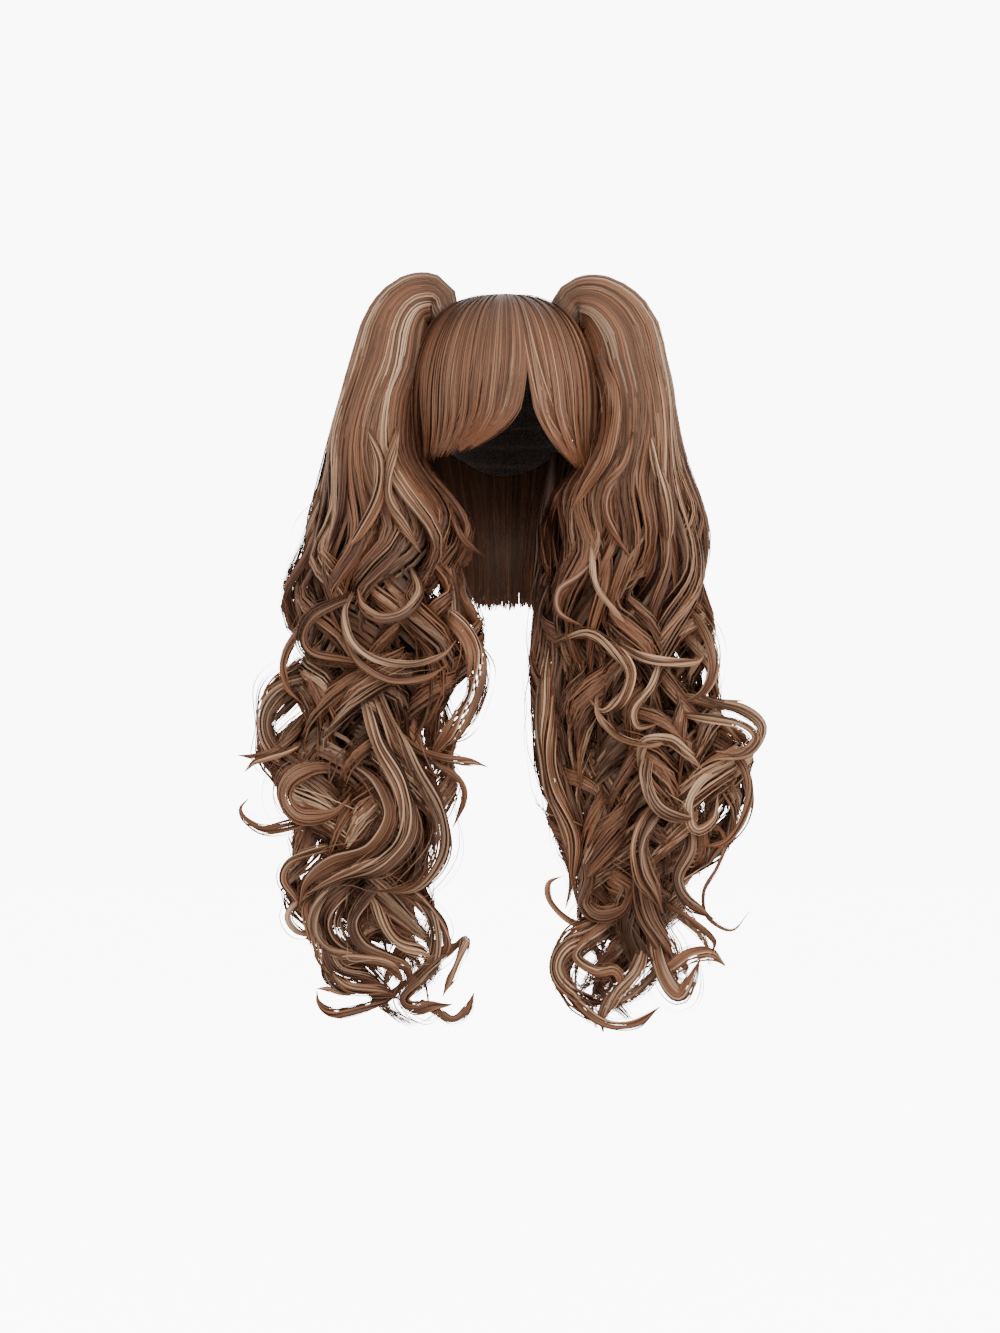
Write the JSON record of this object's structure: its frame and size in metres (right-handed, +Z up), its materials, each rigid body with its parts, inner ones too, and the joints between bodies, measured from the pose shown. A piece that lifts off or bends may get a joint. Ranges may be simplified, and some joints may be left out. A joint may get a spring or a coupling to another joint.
{
  "type": "pigtail wig",
  "caption": "Wig on a net cap: a wefted bob with a parted swept fringe, and long curled tails tied on high at both sides of the head.",
  "frame": {"origin": "the inside of the cap at the crown, where the top of a head touches it", "axes": "+Z up, as worn; the face looks along -Y; +X is to the right of someone who looks at the face. Left in a node's name is the -X side, as seen from the front"},
  "size_m": [0.4745, 0.2174, 0.7285],
  "materials": {
    "hair": "satin chestnut brown fibre with ash-blond streaks",
    "cap_net": "matt dark elastic net",
    "tie": "matt wound elastic"
  },
  "bodies": {
    "root": {"wig_cap": "cap_net", "fringe_left": "hair", "fringe_right": "hair", "side_hair_left": "hair", "side_hair_right": "hair", "back_hair": "hair", "tie_left": "tie", "tie_right": "tie", "pigtail_left": "hair", "pigtail_right": "hair"}
  },
  "joints": []
}
